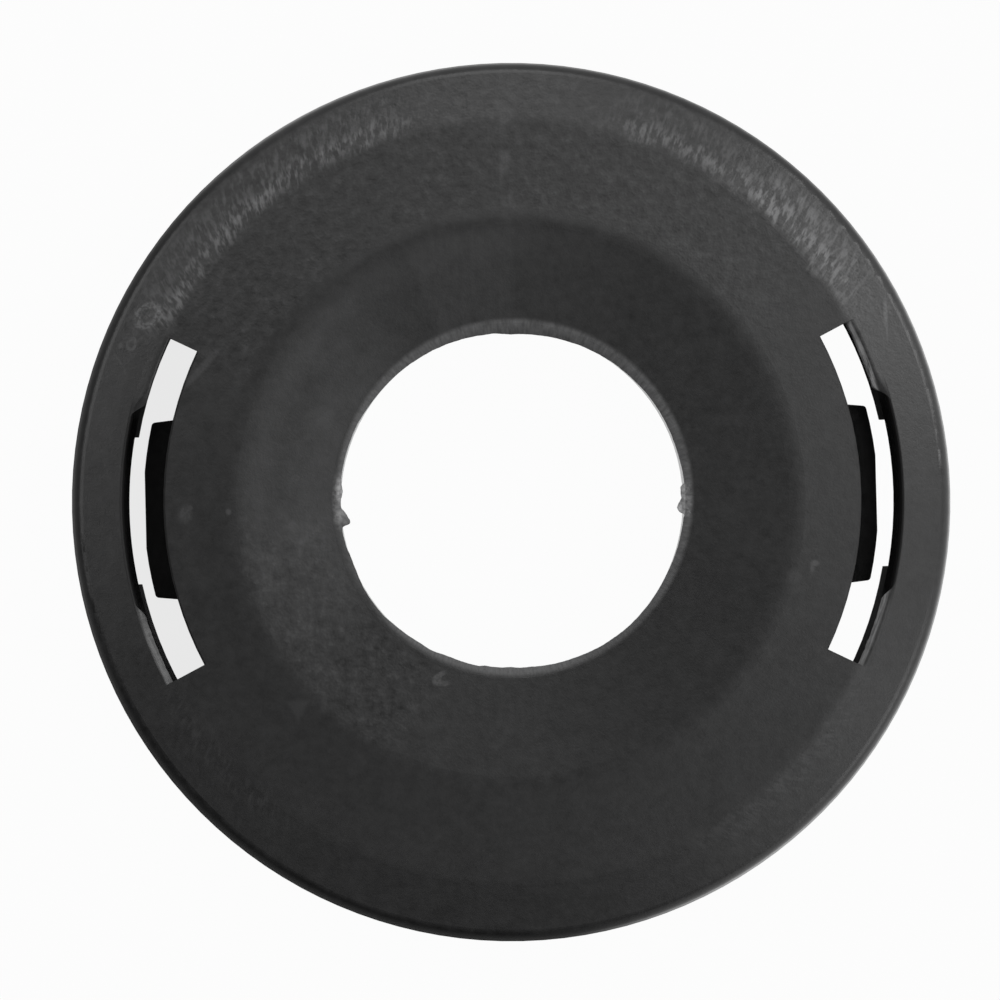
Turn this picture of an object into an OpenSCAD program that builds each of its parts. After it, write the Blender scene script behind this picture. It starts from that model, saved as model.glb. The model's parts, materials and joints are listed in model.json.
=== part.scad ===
// Cover of a line trimmer head, moulded in one piece.
// A dished disc with a bore for the bump knob, a low cone round it and a skirt at the rim.
// Underneath, a locating ring drops into the housing and two snap latches hold the cover there.
// Over each latch the mould's core leaves an arc slot, which lets the latch flex.
// The model stands on its locating ring, with the visible face up and the slots on the X axis.

/* [Body] */
// Diameter over the skirt, at its lower edge
body_d = 108; // [106:0.5:112]
// Height from the bottom of the locating ring to the crest of the face
body_h = 13; // [12:0.5:16]
// Thickness of the face, measured upright
skin = 2.2; // [1.6:0.1:2.4]
// Height of the skirt's lower edge above the bottom of the locating ring
skirt_z = 4.5; // [3.5:0.5:5.5]
// Thickness of the skirt
skirt_wall = 2; // [1.6:0.1:2.2]
// Lean of the skirt from upright, in degrees
skirt_lean = 10; // [6:1:12]
// Radius that rounds the rim
rim_round = 1.8; // [1:0.1:2]

/* [Face] */
// Diameter of the crest between the dished middle and the cone
crest_d = 68.8; // [60:0.2:76]
// Fall of the dished middle towards the bore, in degrees
dish_slope = 6; // [2:0.5:8]
// Radius that rounds the crest
crest_round = 8; // [4:0.5:10]
// Fall of the cone outside the crest, in degrees
cone_slope = 8; // [4:0.5:9]
// Diameter of the crease where the rim band starts
crease_d = 92.5; // [90:0.5:93]
// Radius that rounds the crease
crease_round = 6; // [2:0.5:8]
// Fall of the rim band, in degrees
band_slope = 16; // [10:1:18]

/* [Knob bore] */
// Diameter of the bore that the bump knob slides in
bore_d = 42; // [38:0.5:46]
// Radius that rounds the bore's upper edge
bore_round = 0.6; // [0.3:0.1:0.8]
// Thickness of the collar round the bore
collar_wall = 2; // [1.6:0.2:3]
// Height of the collar's lower edge above the bottom of the locating ring
collar_z = 5; // [3:0.5:6]

/* [Locating ring] */
// Inner diameter of the locating ring
ring_d = 93.7; // [93.5:0.1:94]
// Thickness of the locating ring
ring_wall = 2; // [1.6:0.1:2.2]
// Width of the relief in the ring's inner face below each slot
relief_w = 18.2; // [14:0.2:19]
// Height of the relief
relief_h = 6; // [5:0.5:7]
// Depth of the relief into the ring
relief_in = 1.1; // [0.8:0.1:1.2]

/* [Slots] */
// Inner diameter of the arc slots
slot_d = 84.5; // [84:0.1:85]
// Angle from the middle of a slot to its end
slot_half = 26.7; // [20:0.1:32]
// Lean of the slot's outer wall from upright, in degrees
slot_draft = 6; // [3:0.5:7]
// Chamfer on the slot's long upper edges
slot_lead = 0.2; // [0.1:0.05:0.4]

/* [Latches] */
// Width of a latch where it joins the face
latch_w = 22.3; // [18:0.1:24]
// Thickness of the latch's arm
latch_wall = 2.2; // [1.8:0.1:2.6]
// Reach of the barb beyond the arm
barb_reach = 3.2; // [2.4:0.1:3.4]
// Height of the barb's upper face, which hooks into the housing
barb_z = 2.2; // [1.8:0.1:3]
// Height of the barb's upright tip
barb_tip = 1; // [0.6:0.1:1.4]
// Taper of each side of the barb towards its tip, in degrees
barb_taper = 6; // [2:1:8]
// Radius of the barb's corners in plan
barb_round = 0.5; // [0.3:0.1:0.8]

/* [Hidden] */
$fn = 180;
body_r = body_d / 2;
bore_r = bore_d / 2;
crest_r = crest_d / 2;
crease_r = crease_d / 2;
ring_r = ring_d / 2;
slot_r = slot_d / 2;
barb_r = slot_r + barb_reach;
arm_r = slot_r - latch_wall;
// Radii of the section's small edges and inside corners
edge_round = 0.3;
skirt_edge_round = 0.4;
inside_round = 0.6;
rim_inside_round = 1;
// Lead-in that starts the barb's sloped nose, measured along its underside
nose_in = 2;
// Angle that a latch's revolved blank spans to each side, beyond its real sides
blank_half = 20;
// Length by which a cutting shape passes the surface that it opens
past = 1;
// Radius of the skirt's sharp foot, whose rounding brings the widest point back to body_r
foot_r = body_r + skirt_edge_round * (tan(skirt_lean) + 1 / cos(skirt_lean) - 1);
// Height of the crest's sharp corner, whose rounding brings the highest point back to body_h
crest_rise = (sin(cone_slope) + sin(dish_slope)) / sin(cone_slope + dish_slope) - 1;
crest_z = body_h + crest_round * crest_rise;
crease_z = crest_z - (crease_r - crest_r) * tan(cone_slope);

// Height of the dished middle, the cone and the rim band at radius r
function dish_z(r) = crest_z - (crest_r - r) * tan(dish_slope);
function cone_z(r) = crest_z - (r - crest_r) * tan(cone_slope);
function band_z(r) = crease_z - (r - crease_r) * tan(band_slope);

// Corner between the band lowered by "down" and the skirt's side moved in by "inset"
function rim_corner(down, inset) =
    let (lean = tan(skirt_lean), fall = tan(band_slope), foot = foot_r - inset)
    let (z = (crease_z - down - (foot + skirt_z * lean - crease_r) * fall) / (1 - lean * fall))
    [foot - (z - skirt_z) * lean, z];

// Radius of the slot's leaning outer wall at height z: it leaves the ring level with the relief
function slot_wall_r(z) = ring_r + (z - relief_h) * tan(slot_draft);

function along(v) = v / norm(v);
function corner_half(a, p, b) = acos(along(a - p) * along(b - p)) / 2;
function corner_centre(a, p, b, r) = p + along(along(a - p) + along(b - p)) * r / sin(corner_half(a, p, b));
function corner_ends(a, p, b, r) =
    let (t = r / tan(corner_half(a, p, b)))
    r == 0 ? [p] : [p + along(a - p) * t, p + along(b - p) * t];
function at(corner) = [corner[0], corner[1]];
// Points outside and inside the outline, one corner's depth beyond the corner and below its chord
function middle(ends) = (ends[0] + ends[1]) / 2;
function beyond(ends, corner) = corner + (corner - middle(ends));
function below(ends, corner) = middle(ends) - (corner - middle(ends));

// Outline whose corners [x, y, radius] run anticlockwise, each rounded by a true arc.
// A corner is first cut off straight between the arc's ends. At a left turn the arc's cap
// is added to that cut, and at a right turn the arc's circle is taken out of it.
module rounded_outline(corners) {
    n = len(corners);
    before = [for (i = [0:n - 1]) at(corners[(i + n - 1) % n])];
    here = [for (c = corners) at(c)];
    after = [for (i = [0:n - 1]) at(corners[(i + 1) % n])];
    r = [for (c = corners) c[2]];
    ends = [for (i = [0:n - 1]) corner_ends(before[i], here[i], after[i], r[i])];
    left_turn = [for (i = [0:n - 1]) cross(here[i] - before[i], after[i] - here[i]) > 0];
    difference() {
        union() {
            polygon([for (i = [0:n - 1]) each ends[i]]);
            for (i = [0:n - 1])
                if (r[i] > 0 && left_turn[i])
                    intersection() {
                        translate(corner_centre(before[i], here[i], after[i], r[i])) circle(r[i]);
                        polygon([ends[i][0], beyond(ends[i], here[i]), ends[i][1], below(ends[i], here[i])]);
                    }
        }
        for (i = [0:n - 1])
            if (r[i] > 0 && !left_turn[i])
                translate(corner_centre(before[i], here[i], after[i], r[i])) circle(r[i]);
    }
}

// Face, collar, locating ring and skirt, turned from one section
module shell() {
    collar_r = bore_r + collar_wall;
    ring_out_r = ring_r + ring_wall;
    rim = rim_corner(0, 0);
    under_rim = rim_corner(skin, skirt_wall);
    rotate_extrude()
        rounded_outline([
            [bore_r, collar_z, edge_round],
            [collar_r, collar_z, edge_round],
            [collar_r, dish_z(collar_r) - skin, inside_round],
            [crest_r, crest_z - skin, crest_round - skin],
            [ring_r, cone_z(ring_r) - skin, inside_round],
            [ring_r, 0, edge_round],
            [ring_out_r, 0, edge_round],
            [ring_out_r, band_z(ring_out_r) - skin, inside_round],
            [under_rim[0], under_rim[1], rim_inside_round],
            [foot_r - skirt_wall, skirt_z, edge_round],
            [foot_r, skirt_z, skirt_edge_round],
            [rim[0], rim[1], rim_round],
            [crease_r, crease_z, crease_round],
            [crest_r, crest_z, crest_round],
            [bore_r, dish_z(bore_r), bore_round],
        ]);
}

// Plan of a latch: its sides close in towards the tip and meet the tip's arc in round corners
module latch_plan() {
    half_w = latch_w / 2;
    root = [sqrt(slot_r * slot_r - half_w * half_w), half_w];
    side = [cos(barb_taper), -sin(barb_taper)];
    inward = [-sin(barb_taper), -cos(barb_taper)];
    // The corner's centre lies barb_round inside the side and barb_round inside the tip's arc
    on_line = root + inward * barb_round;
    b = on_line * side;
    reach = -b + sqrt(b * b - on_line * on_line + pow(barb_r - barb_round, 2));
    centre = on_line + side * reach;
    foot = centre - inward * barb_round;
    beyond = centre * (barb_r + past) / norm(centre);
    back = root - side * (latch_wall + past);
    half = [back, foot, centre, beyond];
    polygon(concat([for (p = half) [p[0], -p[1]]], [for (i = [len(half) - 1:-1:0]) half[i]]));
    for (s = [-1, 1])
        translate([centre[0], s * centre[1]]) circle(barb_round);
}

// One latch as a blank, before the slot's core frees its arm from the barb
module latch_blank() {
    buried_z = cone_z(barb_r) - skin / 2;
    nose_r = barb_r - nose_in;
    intersection() {
        rotate([0, 0, -blank_half])
            rotate_extrude(angle = 2 * blank_half)
                polygon([
                    [arm_r, 0],
                    [nose_r, 0],
                    [barb_r, barb_z - barb_tip],
                    [barb_r, buried_z],
                    [arm_r, buried_z],
                ]);
        linear_extrude(body_h)
            latch_plan();
    }
}

// Space of one slot: from the barb's upper face out through the face, with a leaning outer wall
module slot_core() {
    out_lead_z = band_z(slot_wall_r(crease_z)) - slot_lead;
    in_lead_z = cone_z(slot_r) - slot_lead;
    rotate([0, 0, -slot_half])
        rotate_extrude(angle = 2 * slot_half)
            polygon([
                [slot_r, barb_z],
                [slot_wall_r(barb_z), barb_z],
                [slot_wall_r(out_lead_z), out_lead_z],
                [slot_wall_r(out_lead_z) + past, out_lead_z + past],
                [slot_r - past, in_lead_z + past],
                [slot_r, in_lead_z],
            ]);
}

// Space of the relief that gives the housing's wall room to spring outwards as a barb snaps in
module ring_relief() {
    near_x = (barb_r + sqrt(ring_r * ring_r - relief_w * relief_w / 4)) / 2;
    intersection() {
        translate([near_x, -relief_w / 2, -past])
            cube([relief_w, relief_w, relief_h + past]);
        translate([0, 0, -2 * past])
            cylinder(r = ring_r + relief_in, h = body_h);
    }
}

module cover() {
    color([0.22, 0.22, 0.23])
        difference() {
            union() {
                shell();
                for (turn = [0, 180])
                    rotate([0, 0, turn]) latch_blank();
            }
            for (turn = [0, 180])
                rotate([0, 0, turn]) {
                    slot_core();
                    ring_relief();
                }
        }
}

cover();
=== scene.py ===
"""Looks of the trimmer head cover: moulded finish, fibre bloom, gate remnants and the studio stage."""
import json
import math

import bmesh
import bpy
import mathutils.noise
from bpy.props import FloatProperty, FloatVectorProperty, PointerProperty
from mathutils import Matrix, Vector


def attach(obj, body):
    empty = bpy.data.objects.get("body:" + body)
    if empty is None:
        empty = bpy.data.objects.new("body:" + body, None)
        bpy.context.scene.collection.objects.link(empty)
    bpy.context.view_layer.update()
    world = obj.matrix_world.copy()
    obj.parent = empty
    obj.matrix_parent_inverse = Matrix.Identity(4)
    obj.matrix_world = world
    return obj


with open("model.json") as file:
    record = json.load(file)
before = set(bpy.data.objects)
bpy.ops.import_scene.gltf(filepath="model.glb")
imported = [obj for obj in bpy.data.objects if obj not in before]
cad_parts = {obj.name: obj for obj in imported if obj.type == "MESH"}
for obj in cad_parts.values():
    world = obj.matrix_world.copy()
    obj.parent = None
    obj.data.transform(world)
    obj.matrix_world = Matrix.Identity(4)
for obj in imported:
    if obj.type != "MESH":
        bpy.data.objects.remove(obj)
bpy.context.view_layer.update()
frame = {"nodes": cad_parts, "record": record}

bl_info = {
    "name": "Trimmer head cover",
    "version": (1, 0, 0),
    "blender": (4, 5, 0),
    "location": "View3D > Sidebar > Trimmer cover",
    "description": "Finish, gate remnants and studio stage of a moulded trimmer head cover",
    "category": "Object",
}

COVER = frame["nodes"]["cover"]
BODY = "root"
MM = 0.001

# Radii of the cover's rings, in millimetres
CREASE_R = 46.25
BORE_R = frame["record"]["mounts"][0]["dims"]["r_mm"]

# Softboxes: name, azimuth and elevation in degrees, power in watts
STUDIO_LIGHTS = (
    ("key", 30, 35, 5.7),
    ("right", 330, 35, 2.8),
    ("back", 90, 35, 3.0),
    ("back_left", 150, 35, 2.1),
    ("left", 180, 35, 1.4),
    ("high_right", 0, 60, 1.0),
    ("high_back", 60, 60, 1.15),
    ("high_left", 120, 60, 0.95),
    ("high_front", 240, 60, 0.5),
    ("high_corner", 300, 60, 0.55),
)

# Leftovers of the moulding round the bore's upper edge: direction in degrees and reach into the bore
# in millimetres. The flash runs all round. The broken gates are at 354 to 4 and at 172 to 188.
BORE_RAGGED = (
    (0.0, 0.60), (0.7, 0.64), (3.0, 0.60), (3.6, 0.50), (4.0, 0.29), (4.5, 0.10), (8, 0.14), (12, 0.20),
    (36, 0.24), (41, 0.30), (46, 0.36), (51, 0.36), (56, 0.44), (60, 0.50), (65, 0.54), (69, 0.62),
    (74, 0.66), (80, 0.76), (84, 0.78), (89, 0.88), (92, 0.80), (95, 0.67), (100, 0.63), (105, 0.56),
    (110, 0.50), (116, 0.43), (122, 0.38), (128, 0.32), (134, 0.29), (140, 0.27), (146, 0.20),
    (150, 0.10), (153, 0.03), (169, 0.03), (171.5, 0.10), (173.2, 0.18), (174.2, 0.28), (175.5, 0.40),
    (176.9, 0.34), (178.2, 0.23), (180.3, 0.18), (181.3, 0.25), (182.4, 0.57), (183.6, 0.81),
    (184.6, 0.95), (185.4, 1.12), (186.3, 1.15), (186.9, 1.04), (187.1, 0.75), (187.3, 0.38),
    (187.8, 0.12), (189, 0.05), (194, 0.08), (197, 0.24), (203, 0.25), (206, 0.15), (209, 0.06),
    (218, 0.03), (221, 0.07), (224, 0.21), (230, 0.30), (235, 0.42), (239, 0.36), (242, 0.40),
    (245, 0.57), (251, 0.55), (257, 0.54), (259, 0.70), (265, 0.72), (268, 0.83), (271, 0.72),
    (275, 0.72), (280, 0.63), (285, 0.56), (290, 0.52), (295, 0.44), (300, 0.38), (306, 0.34),
    (311, 0.28), (320, 0.28), (332, 0.33), (340, 0.27), (346, 0.24), (353, 0.20), (353.9, 0.15),
    (354.2, 0.42), (354.6, 0.74), (355.3, 0.94), (356.1, 1.06), (356.6, 1.03), (357.6, 0.89),
    (358.9, 0.64), (359.6, 0.54),
)

# Ledges of rough plastic at the slots' ends: name, direction of the end, side of the slot's middle,
# edge of the flat, foot of the slope, fall of the slope and bulge below it, in millimetres
LEDGES = (
    ("right_upper", 0, 1, 46.62, 45.96, 0.30, 0.28),
    ("right_lower", 0, -1, 47.10, 46.36, 0.42, -0.1),
    ("left_upper", 180, -1, 46.20, 45.95, 0.08, 0.0),
    ("left_lower", 180, 1, 47.45, 46.62, 0.50, -0.1),
)
SLOT_HALF = 26.7
LEDGE_START = 13.6
FOOT_FULL = 16.4
FLAT_FULL = 18.6


class Wire:
    """One output of a node. Python's operators on it add the Math nodes of an expression."""

    def __init__(self, graph, socket):
        self.graph = graph
        self.socket = socket

    def math(self, operation, *values):
        made = self.graph.node("ShaderNodeMath", {"operation": operation}, dict(enumerate(values)))
        return made["Value"]

    def __add__(self, other):
        return self.math("ADD", self, other)

    __radd__ = __add__

    def __sub__(self, other):
        return self.math("SUBTRACT", self, other)

    def __rsub__(self, other):
        return self.math("SUBTRACT", other, self)

    def __mul__(self, other):
        return self.math("MULTIPLY", self, other)

    __rmul__ = __mul__

    def __truediv__(self, other):
        return self.math("DIVIDE", self, other)

    def __pow__(self, other):
        return self.math("POWER", self, other)

    def __abs__(self):
        return self.math("ABSOLUTE", self)

    def above(self, other):
        """The larger of the two."""
        return self.math("MAXIMUM", self, other)

    def below(self, other):
        """The smaller of the two."""
        return self.math("MINIMUM", self, other)


class Outputs:
    """The outputs of one node, by name or number."""

    def __init__(self, graph, made):
        self.graph = graph
        self.made = made

    def __getitem__(self, key):
        return Wire(self.graph, self.made.outputs[key])


class Graph:
    """The node tree of one material or world, emptied first."""

    def __init__(self, owner):
        owner.use_nodes = True
        self.tree = owner.node_tree
        self.tree.nodes.clear()

    def node(self, kind, settings=None, values=None):
        """Adds a node: its settings first, then the values or links of its sockets."""
        made = self.tree.nodes.new(kind)
        for name, value in (settings or {}).items():
            setattr(made, name, value)
        for key, value in (values or {}).items():
            if isinstance(value, Wire):
                self.tree.links.new(value.socket, made.inputs[key])
            else:
                made.inputs[key].default_value = value
        return Outputs(self, made)

    def step(self, value, low, high):
        """0 below low and 1 above high, with a soft step between."""
        settings = {"interpolation_type": "SMOOTHSTEP"}
        return self.node(
            "ShaderNodeMapRange", settings, {"Value": value, "From Min": low, "From Max": high}
        )["Result"]

    def between(self, value, low, high, soft):
        """1 from low to high, falling to 0 over the soft length at each end."""
        return self.step(value, low - soft, low + soft) * (1 - self.step(value, high - soft, high + soft))

    def noise(self, vector, scale, detail=2.0, roughness=0.5, distortion=0.0):
        """Noise from 0 to 1 around a half."""
        return self.node(
            "ShaderNodeTexNoise",
            {"noise_dimensions": "3D"},
            {
                "Vector": vector,
                "Scale": scale,
                "Detail": detail,
                "Roughness": roughness,
                "Distortion": distortion,
            },
        )["Fac"]

    def vector(self, x, y, z):
        return self.node("ShaderNodeCombineXYZ", None, {"X": x, "Y": y, "Z": z})["Vector"]

    def mix_colour(self, factor, first, second):
        return self.node(
            "ShaderNodeMix", {"data_type": "RGBA"}, {0: factor, 6: first, 7: second}
        )[2]


class Place:
    """Where a shaded point lies on the cover: millimetres, and the polar coordinates round the bore."""

    def __init__(self, graph):
        self.graph = graph
        metres = graph.node("ShaderNodeTexCoord")["Object"]
        self.mm = graph.node(
            "ShaderNodeVectorMath", {"operation": "SCALE"}, {"Vector": metres, "Scale": 1 / MM}
        )["Vector"]
        parts = graph.node("ShaderNodeSeparateXYZ", None, {"Vector": self.mm})
        self.x, self.y, self.z = parts["X"], parts["Y"], parts["Z"]
        self.radius = (self.x * self.x + self.y * self.y) ** 0.5
        self.angle = self.y.math("ARCTAN2", self.y, self.x)
        self.degrees = self.angle * math.degrees(1)

    def turn_from(self, centre):
        """Degrees round the bore from a direction, from 0 to 180."""
        return abs(self.x.math("WRAP", self.degrees - centre, 180.0, -180.0))

    def ring(self, low, high, soft):
        return self.graph.between(self.radius, low, high, soft)

    def local(self, radius, degrees, long_half, wide_half, turn=0.0):
        """Coordinates round a point on the face, 1 at the rim of a turned oval with these half sizes."""
        centre = [radius * f(math.radians(degrees)) for f in (math.cos, math.sin)]
        return self.graph.node(
            "ShaderNodeMapping",
            {"vector_type": "TEXTURE"},
            {
                "Vector": self.mm,
                "Location": (*centre, 0.0),
                "Rotation": (0.0, 0.0, math.radians(turn)),
                "Scale": (long_half, wide_half, 10000.0),
            },
        )["Vector"]

    def reach(self, *oval):
        """Distance from an oval's middle, 1 at its rim."""
        made = self.graph.node("ShaderNodeVectorMath", {"operation": "LENGTH"}, {"Vector": self.local(*oval)})
        return made["Value"]

    def blot(self, radius, degrees, long_half, wide_half, turn=0.0, soft=0.3):
        """A soft round or oval patch."""
        reach = self.reach(radius, degrees, long_half, wide_half, turn)
        return 1 - self.graph.step(reach, 1 - soft, 1 + soft)

    def stroke(self, start, end, width):
        """A scratch between two points, each given by radius and degrees, that thins at its ends."""
        ax, ay = (start[0] * f(math.radians(start[1])) for f in (math.cos, math.sin))
        bx, by = (end[0] * f(math.radians(end[1])) for f in (math.cos, math.sin))
        middle = ((ax + bx) / 2, (ay + by) / 2)
        turn = math.degrees(math.atan2(by - ay, bx - ax))
        return self.blot(
            math.hypot(*middle), math.degrees(math.atan2(middle[1], middle[0])),
            math.hypot(bx - ax, by - ay) / 2, width / 2, turn, 0.5,
        )

    def loop(self, radius, degrees, long_half, wide_half, turn, width):
        """The outline of an oval, drawn with a soft line."""
        reach = self.reach(radius, degrees, long_half, wide_half, turn)
        return 1 - self.graph.step(abs(reach - 1) * wide_half, width * 0.3, width * 0.7)

    def sector(self, start, end, soft):
        """1 over the sector that runs anticlockwise from start to end, in degrees."""
        centre = (start + end) / 2
        half = (end - start) / 2
        return 1 - self.graph.step(self.turn_from(centre), half - soft, half + soft)


def fibre_bloom(graph, place):
    """Pale streaks where the filler's fibres lie bare, from 0 to 1, along the band outside the crease."""
    out = place.radius - CREASE_R
    along = place.angle * CREASE_R
    lean = ((place.degrees - 75) / 130).above(-0.45).below(0.45)
    slanted = along + out * lean
    patches = graph.noise(graph.vector(along / 3.4, out / 3.0, 9.0), 1.0, 1.0)
    streaks = graph.noise(graph.vector(slanted / 0.66, out / 1.8, 0.0), 1.0, 2.0, 0.62)
    lines = graph.step(streaks + (patches - 0.5) * 0.16, 0.42, 0.66)
    left = place.sector(104, 153, 4)
    right = place.sector(28, 72, 5)
    strongest = place.sector(31, 51, 4)
    top = place.sector(70, 104, 6)
    low_right = place.sector(-62, -27, 6)
    low_left = place.sector(-152, -126, 5)
    where = left * 0.62 + right * 0.55 + strongest * 0.4 + top * 0.04 + low_right * 0.1 + low_left * 0.08
    ragged = place.radius + (patches - 0.5) * 2.6
    near = graph.between(ragged, 46.4, 48.7, 0.7)
    far = graph.between(ragged, 47.0, 51.6, 1.1)
    body = near * 0.7 + far * (0.36 + strongest * 0.35)
    return where * body * (0.03 + lines * (0.78 + patches * 0.5))


def scuffs(graph, place):
    """Scratches, dents and specks on the face, from 0 to 1."""
    rough = graph.noise(place.mm, 1 / 0.4, 1.0, 0.6)
    broken = graph.step(rough, 0.38, 0.62)
    half_broken = 0.5 + broken * 0.5
    gouge_side = graph.node(
        "ShaderNodeSeparateXYZ", None, {"Vector": place.local(22.85, 248.2, 1.0, 1.0, 197)}
    )["X"]
    gouge = place.loop(22.85, 248.2, 1.3, 0.66, 197, 0.55) * graph.step(gouge_side, -0.4, 0.5)
    sides = [
        graph.node("ShaderNodeSeparateXYZ", None, {"Vector": place.local(36.05, 222.6, 1.15, 1.15, turn)})["X"]
        for turn in (90, 210, 330)
    ]
    wedge = 1 - graph.step(sides[0].above(sides[1]).above(sides[2]), 0.4, 1.0)
    marks = (
        gouge * half_broken * 0.27,
        wedge * 0.085,
        place.blot(33.5, 225.8, 0.95, 0.4, 80, 0.6) * 0.05,
        place.blot(39.6, 181.0, 0.8, 1.05, 0, 0.4) * half_broken * 0.15,
        place.blot(39.0, 180.0, 0.32, 0.3, 0, 0.6) * 0.14,
        place.blot(37.3, -13.2, 0.5, 0.36, 0, 0.5) * 0.26,
        place.blot(37.1, -14.2, 0.24, 0.5, 0, 0.6) * 0.18,
        place.blot(35.2, -16.6, 0.75, 1.05, -8, 0.5) * 0.055,
        place.blot(36.2, -19.0, 0.8, 0.5, 20, 0.6) * 0.035,
        place.blot(34.35, 181.0, 0.3, 0.36, 0, 0.6) * 0.2,
        place.stroke((51.65, 27.1), (50.2, 23.7), 0.5) * half_broken * 0.6,
        place.stroke((50.9, 25.3), (49.6, 21.7), 0.3) * 0.28,
        place.blot(51.6, 25.8, 0.32, 0.2, -15, 0.6) * 0.3,
        place.stroke((41.9, 159.3), (40.0, 151.9), 0.9) * (0.7 + broken * 0.3) * 0.15,
        place.loop(50.0, 156.3, 0.66, 0.5, 70, 0.36) * half_broken * 0.22,
        place.blot(51.2, 157.0, 0.36, 0.3, 0, 0.6) * 0.17,
        place.stroke((51.4, 158.4), (49.5, 160.4), 0.35) * broken * 0.12,
        place.loop(49.6, 151.7, 1.5, 1.1, 35, 0.75) * (0.2 + broken * 0.8) * 0.46,
        place.stroke((49.9, 152.4), (49.2, 150.9), 0.5) * broken * 0.25,
        place.blot(37.2, 148.5, 0.9, 0.4, 60, 0.6) * broken * 0.12,
        place.loop(26.4, 172.8, 0.34, 0.28, 0, 0.3) * 0.05,
    )
    total = marks[0]
    for mark in marks[1:]:
        total = total.above(mark)
    return total


def flow_marks_and_light(graph, place, cloudy):
    """Paler places: knit lines and the blush round the left gate that the melt left, painted light on the dish's
    upper side and outer rim, and a painted highlight along the crest at the top.
    """
    stripes = graph.noise(graph.vector(place.x / 0.5, place.y / 7.0, 0.0), 1.0, 2.0)
    broken = graph.step(cloudy, 0.42, 0.62)
    leaning = place.x - place.y * 0.0244
    upper = graph.between(place.y, 34.0, 48.0, 1.2)
    knit_top = graph.between(leaning, -1.55, -0.05, 0.35) * upper * broken * (0.3 + stripes) * 0.16
    lower = graph.between(place.y, -46.0, -37.0, 2.0)
    knit_low = graph.between(leaning, 0.2, 0.9, 0.3) * lower * broken * stripes * 0.03
    dish_stripes = place.sector(88.5, 112, 1.2) * place.ring(22.0, 33.0, 1.0) * stripes * 0.08
    blush = place.sector(128, 214, 14) * place.ring(21.4, 32.5, 1.6) * (0.62 + cloudy * 0.8)
    near_bore = place.sector(140, 204, 12) * place.ring(20.0, 26.5, 2.2) * 0.55
    blush = (blush + near_bore) * 0.085
    # Painted light: the dish is paler on its upper side and along its outer rim at the top and left
    lit_upper_dish = place.sector(66, 138, 12) * place.ring(21.4, 33.0, 1.6) * 0.022
    lit_dish_rim = place.sector(80, 196, 12) * place.ring(29.5, 33.6, 1.4) * 0.035
    cloud_low = place.blot(26.0, 187.6, 1.8, 1.5, 0, 0.6) * 0.06
    cloud_high = place.blot(25.0, 155.0, 1.6, 1.1, 0, 0.6) * 0.055
    # Painted highlight along the crest at the top
    crest_highlight = place.sector(68, 128, 8) * place.ring(34.1, 35.6, 0.5) * 0.05
    return (
        knit_top + knit_low + dish_stripes + blush + lit_upper_dish + lit_dish_rim + cloud_low + cloud_high
        + crest_highlight
    )


def lip_highlight(graph, place):
    """Painted highlight on the bore's rounded lip, broken into rough streaks, from 0 to 1. It lies a little off
    the bore's axis.
    """
    streaks = graph.noise(graph.vector(place.angle * 21 / 0.42, place.radius / 1.5, 3.0), 1.0, 2.0, 0.6)
    lip = 1 - graph.step(place.reach(0.42, 60, 21.55, 21.55), 0.983, 1.018)
    # The painted highlight is fainter in these two sectors
    dull = place.sector(187, 218, 8) * 0.9 + place.sector(292, 324, 8) * 0.3
    return lip * (1 - dull) * (streaks * 1.8 - 0.05).above(0.0) * 0.46


def gate_tears(graph, place):
    """Torn plastic on the gate remnants, from 0 to 1."""
    rough = graph.step(graph.noise(place.mm, 1 / 0.45, 2.0, 0.6), 0.36, 0.66)
    lumps = place.sector(-6.6, 4.6, 0.7) * (1 - graph.step(place.radius, 20.8, 21.1)) * (0.3 + rough * 0.35)
    bright = place.blot(20.3, -3.9, 0.42, 0.26, 80, 0.5) * 0.9
    scar = place.sector(-6.6, 4.4, 1.4) * place.ring(20.0, 21.62, 0.3) * (0.06 + rough * 0.2)
    smear = place.blot(20.9, 175.2, 1.4, 0.5, 88, 0.8) * (0.32 + rough * 0.5)
    blush = place.blot(21.25, 179.5, 2.6, 0.55, 92, 0.7) * (0.05 + rough * 0.14)
    thorn = place.blot(21.0, 183.4, 1.0, 0.6, 70, 0.7) * (0.2 + rough * 0.2)
    tip = place.blot(20.2, 185.2, 0.6, 0.5, 60, 0.6) * 0.16
    return lumps.above(bright).above(scar).above(smear).above(blush).above(thorn).above(tip)


def ledge_highlights(graph, place):
    """Painted highlights on the slopes of the ledges at the slots' ends, broken into streaks, from 0 to 1."""
    streaks = graph.noise(graph.vector(place.angle * 47 / 2.4, place.radius / 0.16, 5.0), 1.0, 2.0, 0.6)
    right_upper = place.sector(13.5, 30, 2) * place.ring(45.8, 46.42, 0.14) * 0.46
    right_lower = place.sector(-30, -13.5, 2) * place.ring(46.0, 46.95, 0.2) * 0.26
    left_lower = place.sector(197, 210, 4) * place.ring(46.4, 47.6, 0.25) * 0.13
    return (right_upper + right_lower + left_lower) * graph.step(streaks, 0.15, 0.85) * 1.9


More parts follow.
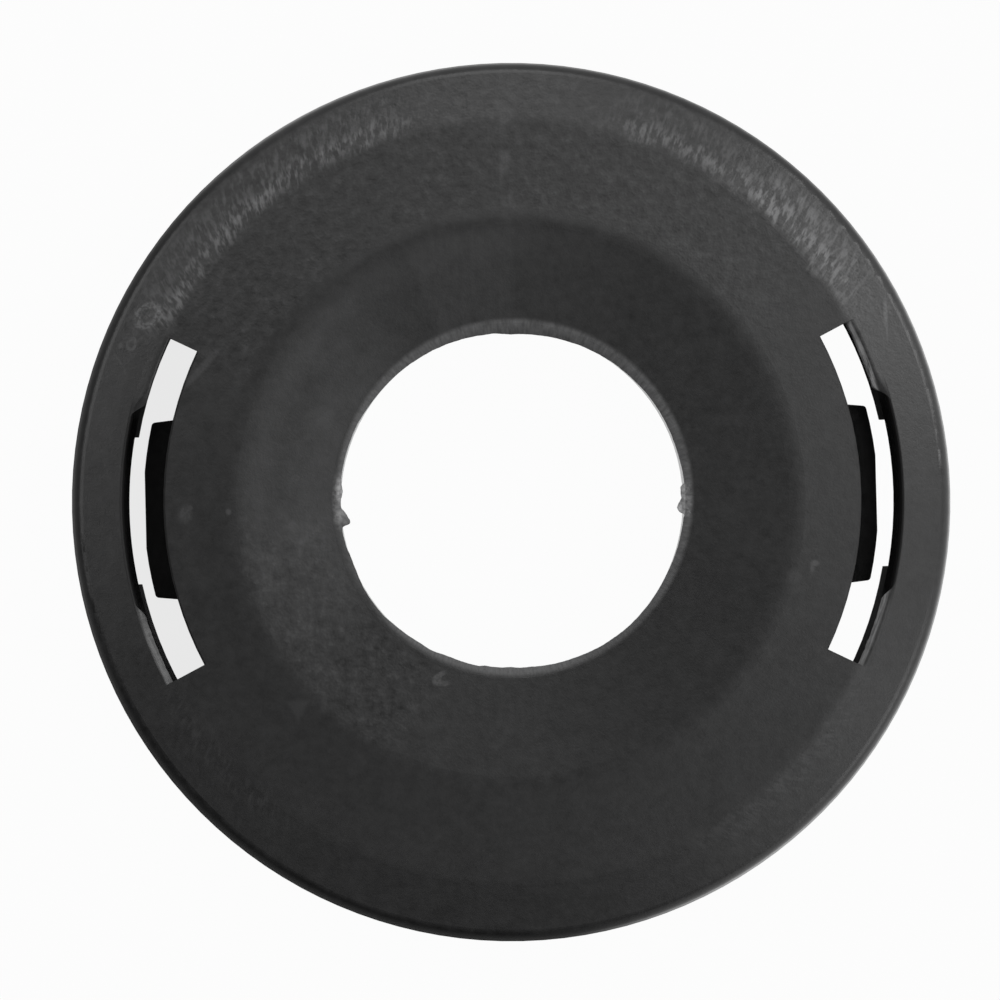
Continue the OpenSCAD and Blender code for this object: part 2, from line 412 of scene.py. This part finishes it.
def moulded_plastic(name, finish, tears_and_highlights=None):
    """Dark filled nylon with moulded grain, paler where fibres bloom, the melt left marks or it is torn, with
    painted highlights on the bore's lip, the crest and the ledges' slopes, painted light and shade on the dish and
    painted shade inside the slots and below the face.
    """
    # Only the cover itself gets the painted shade inside; the added pieces don't
    paints_inside_shade = 0.0 if tears_and_highlights else 1.0
    material = bpy.data.materials.new(name)
    graph = Graph(material)
    place = Place(graph)
    grain = graph.noise(place.mm, 1 / 0.24, 1.0, 0.6)
    mottle = graph.noise(place.mm, 1 / 1.2, 2.0, 0.7)
    cloudy = graph.noise(place.mm, 1 / 3.2, 2.0, 0.55)
    top_cone = place.sector(38, 152, 10) * place.ring(35.2, 46.5, 1.0)
    left_dish = place.sector(184, 244, 6) * place.ring(22.5, 33.5, 1.2)
    bloom_band = place.sector(26, 156, 6) * place.ring(46.5, 52.2, 0.6)
    rough_place = 0.5 + top_cone * 0.7 + left_dish * 0.65 + bloom_band * 0.8
    relief = (mottle - 0.5) * rough_place
    # Painted shade: below the face, inside the slots and the hollow, the tone is darkened to 40 per cent as if in
    # shade; there the plastic is also a little glossier
    at_slot = graph.step(place.radius, 43.0, 44.0)
    depth = place.z - at_slot * 0.95
    shaded_inside = (1 - graph.step(depth, 9.3, 9.9)) * (1 - graph.step(place.radius, 48.2, 48.8))
    shaded_inside = shaded_inside * paints_inside_shade
    # Painted shade on the outer edge in the middle of each slot, which is also made rougher
    slot_edge = place.ring(47.2, 47.62, 0.06) * (place.sector(-16, 16, 2) + place.sector(164, 196, 2))
    skirt = graph.step(place.radius, 51.9, 52.8)
    tone = 1 + (grain - 0.5) * 0.5 + relief * 2.4 + (cloudy - 0.5) * 0.7
    # Painted shade: the dish is darker at the lower right
    shaded_dish = place.sector(282, 346, 12) * place.ring(20.0, 33.5, 1.5) * 0.28
    # Darker beside the outer edge of the left slot's upper end
    darker_left = place.sector(152, 173, 3) * place.ring(46.8, 49.0, 0.5) * 0.35
    tone = tone * (1 - shaded_inside.above(slot_edge * paints_inside_shade) * 0.6 - shaded_dish - darker_left)
    grey = graph.node(
        "ShaderNodeVectorMath",
        {"operation": "SCALE"},
        {"Vector": tuple(finish.plastic_colour), "Scale": tone},
    )["Vector"]
    flow_and_light = flow_marks_and_light(graph, place, cloudy)
    blotches = graph.step(mottle, 0.56, 0.76) * (top_cone + left_dish + bloom_band * 1.5) * 0.05
    # Pale marks, with the painted highlights and the painted light on the dish among them
    pale_share = fibre_bloom(graph, place) + scuffs(graph, place) + flow_and_light + blotches + lip_highlight(graph, place)
    on_face = graph.step(place.z, 8.9, 9.4)
    pale_share = pale_share.below(1.0) * (1 - shaded_inside) * on_face
    pale = tuple(finish.pale_and_lit_colour) + (1.0,)
    colour = graph.mix_colour(pale_share, grey, pale)
    # Torn plastic on the gate remnants, and the painted highlights on the ledges' slopes
    torn_and_lit_share = tears_and_highlights(graph, place).below(1.0) if tears_and_highlights else 0.0
    if tears_and_highlights:
        colour = graph.mix_colour(torn_and_lit_share, colour, tuple(finish.torn_and_lit_colour) + (1.0,))
    height = grain * 0.012 + relief * 0.06 * (1 - shaded_inside)
    bump = graph.node(
        "ShaderNodeBump",
        None,
        {"Strength": 1.0, "Distance": 1.0, "Height": height * MM},
    )["Normal"]
    gloss = shaded_inside * 0.2 + skirt * 0.09 - slot_edge * 0.3
    plastic = graph.node(
        "ShaderNodeBsdfPrincipled",
        None,
        {
            "Base Color": colour,
            "Roughness": finish.roughness + relief * 0.15 + pale_share * 0.25 + torn_and_lit_share * 0.4 - gloss,
            "IOR": 1.5,
            "Normal": bump,
        },
    )["BSDF"]
    graph.node("ShaderNodeOutputMaterial", None, {"Surface": plastic})
    return material


def floor_material(stage):
    """White paper that stays white to the camera but keeps a share of the cover's shadow."""
    material = bpy.data.materials.new("white_floor")
    # The paper is no lamp: only rays that meet it anyway see it white
    material.cycles.emission_sampling = "NONE"
    graph = Graph(material)
    path = graph.node("ShaderNodeLightPath")
    place = Place(graph)
    # Painted reflection: mirrored rays see the paper as a white glow under the bore and on the side where the
    # light falls, and as plain grey paper elsewhere
    in_bore = 1 - graph.step(place.radius, 22.0, 24.0)
    bright_side = place.sector(-72, 34, 14) * 0.5
    lit_side = bright_side + place.sector(-72, 128, 14) * 0.5 + place.sector(120, 200, 14) * 0.08
    around = (in_bore + lit_side * graph.step(place.radius, 50.0, 54.0)).below(1.0)
    mirrored = path["Is Glossy Ray"].above(path["Is Transmission Ray"]) * around
    # Painted shadow on the paper under the left slot
    shade = place.sector(150, 210, 2) * place.ring(40.0, 52.0, 0.5) * 0.17
    seen = (path["Is Camera Ray"] * stage.white_share - shade).above(mirrored)
    paper = graph.node("ShaderNodeBsdfDiffuse", None, {"Color": (0.2, 0.2, 0.2, 1)})["BSDF"]
    white = graph.node("ShaderNodeEmission", None, {"Color": (1, 1, 1, 1), "Strength": 1.0})["Emission"]
    mixed = graph.node("ShaderNodeMixShader", None, {0: seen, 1: paper, 2: white})["Shader"]
    graph.node("ShaderNodeOutputMaterial", None, {"Surface": mixed})
    return material


class CoverFinish(bpy.types.PropertyGroup):
    """Colour and gloss of the moulded plastic."""

    plastic_colour: FloatVectorProperty(
        name="Plastic colour",
        description="Colour of the moulded plastic",
        default=(0.016, 0.016, 0.0162),
        subtype="COLOR",
        min=0.0,
        max=1.0,
    )
    # Also the colour of the painted highlights on the bore's lip and the crest, and of the painted light on the
    # dish
    pale_and_lit_colour: FloatVectorProperty(
        name="Bloom colour",
        description="Colour of the bare fibres in the bloom beside the crease",
        default=(0.16, 0.16, 0.162),
        subtype="COLOR",
        min=0.0,
        max=1.0,
    )
    # Also the colour of the painted highlights on the ledges' slopes
    torn_and_lit_colour: FloatVectorProperty(
        name="Torn colour",
        description="Colour of the torn nylon on the gate remnants",
        default=(0.42, 0.42, 0.422),
        subtype="COLOR",
        min=0.0,
        max=1.0,
    )
    roughness: FloatProperty(
        name="Roughness",
        description="Roughness of the moulded face",
        default=0.42,
        min=0.2,
        max=0.9,
        subtype="FACTOR",
    )


class CoverEdges(bpy.types.PropertyGroup):
    """Sizes of the moulding's leftovers at the bore and the slots."""

    flash_height: FloatProperty(
        name="Flash height",
        description="Height of the flash along the bore",
        default=1.3 * MM,
        unit="LENGTH",
    )
    flash_fall: FloatProperty(
        name="Flash fall",
        description="How far the flash falls below the face for each millimetre that it reaches into the bore",
        default=0.5 * MM,
        unit="LENGTH",
    )
    ledge_height: FloatProperty(
        name="Ledge height",
        description="Height of the ledges at the ends of the slots",
        default=1.2 * MM,
        unit="LENGTH",
    )


class CoverStage(bpy.types.PropertyGroup):
    """Camera and lights."""

    camera_distance: FloatProperty(
        name="Camera distance",
        description="Distance from the camera to the plane of the skirt's lower edge",
        default=0.45,
        unit="LENGTH",
    )
    view_width: FloatProperty(
        name="View width",
        description="Width of the view in the plane of the skirt's lower edge",
        default=0.12303,
        unit="LENGTH",
    )
    tilt_across: FloatProperty(
        name="Tilt across",
        description="How far the camera stands to the left of the bore's axis",
        default=math.radians(0.8),
        subtype="ANGLE",
    )
    tilt_down: FloatProperty(
        name="Tilt down",
        description="How far the camera stands below the bore's axis in the view",
        default=math.radians(1.0),
        subtype="ANGLE",
    )
    roll: FloatProperty(
        name="Roll",
        description="Anticlockwise turn of the cover in the view",
        default=math.radians(1.4),
        subtype="ANGLE",
    )
    offset_right: FloatProperty(
        name="Offset right",
        description="How far the cover lies to the right of the view's middle",
        default=0.00145,
        unit="LENGTH",
    )
    offset_down: FloatProperty(
        name="Offset down",
        description="How far the cover lies below the view's middle",
        default=0.000155,
        unit="LENGTH",
    )
    white_share: FloatProperty(
        name="White share",
        description="Share of plain white in the floor as the camera sees it",
        default=0.97,
        min=0.0,
        max=1.0,
        subtype="FACTOR",
    )


def soft_light(name, azimuth, elevation, distance, size, power):
    """A square softbox that faces the cover from a direction, in degrees round and above it."""
    data = bpy.data.lights.new(name, "AREA")
    data.shape = "SQUARE"
    data.size = size
    data.energy = power
    light = bpy.data.objects.new(name, data)
    bpy.context.scene.collection.objects.link(light)
    round_z = math.radians(azimuth)
    up = math.radians(elevation)
    toward = Vector((math.cos(up) * math.cos(round_z), math.cos(up) * math.sin(round_z), math.sin(up)))
    light.location = toward * distance
    light.rotation_euler = toward.to_track_quat("Z", "Y").to_euler()
    return light


class TRIMCOVER_OT_finish_cover(bpy.types.Operator):
    """Gives the moulded cover its finish"""

    bl_idname = "trimcover.finish_cover"
    bl_label = "Finish the cover"

    def execute(self, context):
        finish = context.scene.trimcover_finish
        COVER.data.materials.clear()
        COVER.data.materials.append(moulded_plastic("filled_nylon_face", finish))
        return {"FINISHED"}


def face_height(x, y):
    """Height of the face straight above a point, in millimetres."""
    hit, place, _, _ = COVER.ray_cast(Vector((x * MM, y * MM, 1.0)), Vector((0, 0, -1)))
    if not hit:
        raise RuntimeError("The face isn't found at the bore's edge")
    return place.z / MM


def add_piece(name, points, faces, material):
    """A smooth mesh from points in millimetres, riding on the body with the cover's finish."""
    mesh = bpy.data.meshes.new(name)
    mesh.from_pydata([[value * MM for value in point] for point in points], [], faces)
    mesh.validate()
    shape = bmesh.new()
    shape.from_mesh(mesh)
    bmesh.ops.recalc_face_normals(shape, faces=shape.faces)
    shape.to_mesh(mesh)
    shape.free()
    mesh.shade_smooth()
    mesh.set_sharp_from_angle(angle=math.radians(40))
    mesh.materials.append(material)
    piece = bpy.data.objects.new(name, mesh)
    bpy.context.scene.collection.objects.link(piece)
    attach(piece, BODY)
    return piece


def lofted(sections, closed_ends):
    """Faces between rings of equal length, with a face over each end where asked."""
    count = len(sections[0])
    faces = []
    for i in range(len(sections) - 1):
        for j in range(count):
            k = (j + 1) % count
            faces.append((i * count + j, i * count + k, (i + 1) * count + k, (i + 1) * count + j))
    if closed_ends:
        faces.append(tuple(range(count)))
        faces.append(tuple((len(sections) - 1) * count + j for j in range(count)))
    return faces


def curve_value(points, at):
    """Value at a direction in degrees, read from pairs of direction and value that go once round."""
    at = at % 360
    for (first, low), (second, high) in zip(points, points[1:] + ((points[0][0] + 360, points[0][1]),)):
        for shifted in (at, at + 360):
            if first <= shifted <= second:
                return low + (high - low) * (shifted - first) / (second - first)
    raise RuntimeError("The direction lies outside the outline")


def uneven(x, y, z, size):
    """Seeded noise from -1 to 1 with bumps of about this size in millimetres."""
    return mathutils.noise.noise(Vector((x / size, y / size, z / size + 7.3)))


def bore_flash(edges, material):
    """A thin, ragged ring of flash that narrows the bore's upper edge, with the torn gates in it."""
    outer = BORE_R + 1.1
    height = edges.flash_height / MM
    slope = edges.flash_fall / MM
    sections = []
    for i in range(1440):
        degrees = i / 4
        angle = math.radians(degrees)
        across, up = math.cos(angle), math.sin(angle)
        reach = curve_value(BORE_RAGGED, degrees)
        reach += 0.03 * uneven(21 * across, 21 * up, 0.0, 0.9) + 0.02 * uneven(21 * across, 21 * up, 3.0, 0.35)
        torn = min(max(abs(reach) - 0.4, 0.0) * 4, 1.0) * (across > 0.99 or across < -0.98)
        start = face_height(outer * across, outer * up) - 0.015
        inner = BORE_R - max(reach, 0.02)
        section = [(outer, start - height), (outer, start)]
        for k in range(1, 15):
            share = k / 14
            r = outer + (inner - outer) * share
            fall = (0.12 + slope * reach * (1 - torn * 0.4)) * share * share
            ripple = 0.025 * share * uneven(r * across, r * up, 0.0, 0.5)
            lump = 0.14 * uneven(r * across, r * up, 6.0, 0.55) + 0.06 * uneven(r * across, r * up, 9.0, 0.22)
            section.append((r, start - fall + ripple + torn * share * lump))
        tip = section[-1][1]
        section.append((inner + 0.02, tip - 0.08 - 0.12 * torn))
        section.append((inner + 0.08, tip - 0.18 - 0.3 * torn))
        section.append((inner + 0.3, tip - 0.42 - 0.35 * torn))
        section.append((BORE_R + 0.1, tip - height))
        sections.append([(r * across, r * up, z) for r, z in section])
    sections.append(sections[0])
    points = [point for section in sections[:-1] for point in section]
    faces = [[j % len(points) for j in face] for face in lofted(sections, False)]
    return add_piece("bore_flash", points, faces, material)


def eased(share):
    """A share from 0 to 1 with soft ends."""
    share = min(max(share, 0.0), 1.0)
    return share * share * (3 - 2 * share)


def slot_ledge(name, centre, side, flat_edge, foot, fall, bulge, edges, material):
    """A rough ledge over the outer wall at one end of a slot: flush with the face, then sloping in."""
    root = 48.0
    sections = []
    for i in range(81):
        share = i / 80
        turn = LEDGE_START + (SLOT_HALF + 0.5 - LEDGE_START) * share
        ramp = eased((turn - LEDGE_START) / (FOOT_FULL - LEDGE_START))
        flat_ramp = eased((turn - LEDGE_START) / (FLAT_FULL - LEDGE_START))
        angle = math.radians(centre + side * turn)
        across, up = math.cos(angle), math.sin(angle)
        ragged = 0.05 * uneven(47 * across, 47 * up, 0.0, 0.8) + 0.03 * uneven(47 * across, 47 * up, 4.0, 0.3)
        wall = 47.5
        flat = wall + (flat_edge - wall) * flat_ramp + ragged * flat_ramp
        low = wall - 0.04 + (foot - wall + 0.04) * ramp + ragged * ramp
        section = [(root, face_height(0.0, root) - edges.ledge_height / MM), (root, face_height(0.0, root) - 0.05)]
        for k in range(1, 5):
            r = root + (flat - root) * k / 4
            section.append((r, face_height(0.0, r) - 0.012))
        for k in range(1, 5):
            r = flat + (low - flat) * k / 4
            dent = 0.03 * ramp * uneven(r * across, r * up, 2.0, 0.4)
            section.append((r, face_height(0.0, flat) - 0.012 - fall * ramp * (k / 4) ** 1.4 + dent))
        tip = section[-1][1]
        section.append((low + 0.12 - bulge * ramp, tip - 0.45 * ramp - 0.02))
        section.append((wall - 0.1 * (1 - ramp) + 0.1, tip - 0.9 * ramp - 0.05))
        sections.append([(r * across, r * up, z) for r, z in section])
    points = [point for section in sections for point in section]
    return add_piece("ledge_" + name, points, lofted(sections, True), material)


class TRIMCOVER_OT_bore_flash(bpy.types.Operator):
    """Adds the ragged flash and the torn gates at the bore's upper edge"""

    bl_idname = "trimcover.bore_flash"
    bl_label = "Add the bore's flash"

    def execute(self, context):
        edges = context.scene.trimcover_edges
        plastic = moulded_plastic("filled_nylon_flash", context.scene.trimcover_finish, gate_tears)
        bore_flash(edges, plastic)
        return {"FINISHED"}


class TRIMCOVER_OT_slot_ledges(bpy.types.Operator):
    """Adds the rough ledges at the ends of both slots"""

    bl_idname = "trimcover.slot_ledges"
    bl_label = "Add the slots' ledges"

    def execute(self, context):
        edges = context.scene.trimcover_edges
        plastic = moulded_plastic("filled_nylon_ledge", context.scene.trimcover_finish, ledge_highlights)
        for name, centre, side, flat_edge, foot, fall, bulge in LEDGES:
            slot_ledge(name, centre, side, flat_edge, foot, fall, bulge, edges, plastic)
        return {"FINISHED"}


def paper_sheet(name, rings, closed, material):
    """A round sheet of the stage's paper through rings of radius and height, in metres."""
    mesh = bpy.data.meshes.new(name)
    turns = [math.radians(5 * i) for i in range(72)]
    points = [(r * math.cos(turn), r * math.sin(turn), z) for r, z in rings for turn in turns]
    faces = lofted([turns] * len(rings), False)
    if closed:
        faces.append(tuple(reversed(range(len(turns)))))
    mesh.from_pydata(points, [], faces)
    mesh.materials.append(material)
    sheet = bpy.data.objects.new(name, mesh)
    bpy.context.scene.collection.objects.link(sheet)
    return sheet


class TRIMCOVER_OT_stage(bpy.types.Operator):
    """Sets the floor, the lights and the camera"""

    bl_idname = "trimcover.stage"
    bl_label = "Set the stage"

    def execute(self, context):
        scene = context.scene
        stage = scene.trimcover_stage
        paper = floor_material(stage)
        paper_sheet("paper_floor", ((0.6, 0.0), (2.4, 0.0)), True, paper)
        wall = paper_sheet("paper_wall", ((2.4, 0.0), (2.55, 0.04), (2.6, 0.2), (2.6, 1.2)), False, paper)
        # The gloss mirrors the wall, but its share of the soft light is too small to be worth tracing
        wall.visible_diffuse = False

        world = bpy.data.worlds.new("studio")
        scene.world = world
        graph = Graph(world)
        air = graph.node("ShaderNodeBackground", None, {"Color": (1, 1, 1, 1), "Strength": 0.02})["Background"]
        graph.node("ShaderNodeOutputWorld", None, {"Surface": air})
        for name, azimuth, elevation, power in STUDIO_LIGHTS:
            soft_light(name, azimuth, elevation, 1.2, 0.5, power)

        data = bpy.data.cameras.new("camera")
        data.sensor_width = 36
        data.lens = 36 * stage.camera_distance / stage.view_width
        data.clip_start = 0.01
        camera = bpy.data.objects.new("camera", data)
        scene.collection.objects.link(camera)
        right = Vector((math.cos(stage.roll), -math.sin(stage.roll), 0))
        up = Vector((math.sin(stage.roll), math.cos(stage.roll), 0))
        away = Vector((0, 0, 1)) - right * math.tan(stage.tilt_across) - up * math.tan(stage.tilt_down)
        away.normalize()
        across = up.cross(away).normalized()
        upward = away.cross(across)
        aim = Vector((0, 0, 0.0045)) - across * stage.offset_right + upward * stage.offset_down
        turned = Matrix((across, upward, away)).transposed().to_4x4()
        camera.matrix_world = Matrix.Translation(aim + away * stage.camera_distance) @ turned
        scene.camera = camera
        scene.view_settings.view_transform = "Standard"
        return {"FINISHED"}


class TRIMCOVER_PT_panel(bpy.types.Panel):
    """Lists the cover's settings and steps"""

    bl_idname = "TRIMCOVER_PT_panel"
    bl_label = "Trimmer cover"
    bl_space_type = "VIEW_3D"
    bl_region_type = "UI"
    bl_category = "Trimmer cover"

    def draw(self, context):
        scene = context.scene
        for group in (scene.trimcover_finish, scene.trimcover_edges, scene.trimcover_stage):
            for name in group.bl_rna.properties.keys():
                if name not in ("rna_type", "name"):
                    self.layout.prop(group, name)
        for step in STEPS:
            self.layout.operator(step.bl_idname)


STEPS = (
    TRIMCOVER_OT_finish_cover,
    TRIMCOVER_OT_bore_flash,
    TRIMCOVER_OT_slot_ledges,
    TRIMCOVER_OT_stage,
)
CLASSES = (CoverFinish, CoverEdges, CoverStage, *STEPS, TRIMCOVER_PT_panel)


def register():
    for cls in CLASSES:
        bpy.utils.register_class(cls)
    bpy.types.Scene.trimcover_finish = PointerProperty(type=CoverFinish)
    bpy.types.Scene.trimcover_edges = PointerProperty(type=CoverEdges)
    bpy.types.Scene.trimcover_stage = PointerProperty(type=CoverStage)


def unregister():
    del bpy.types.Scene.trimcover_stage
    del bpy.types.Scene.trimcover_edges
    del bpy.types.Scene.trimcover_finish
    for cls in reversed(CLASSES):
        bpy.utils.unregister_class(cls)


def main():
    register()
    bpy.ops.trimcover.finish_cover()
    bpy.ops.trimcover.bore_flash()
    bpy.ops.trimcover.slot_ledges()
    bpy.ops.trimcover.stage()


if __name__ == "__main__":
    main()
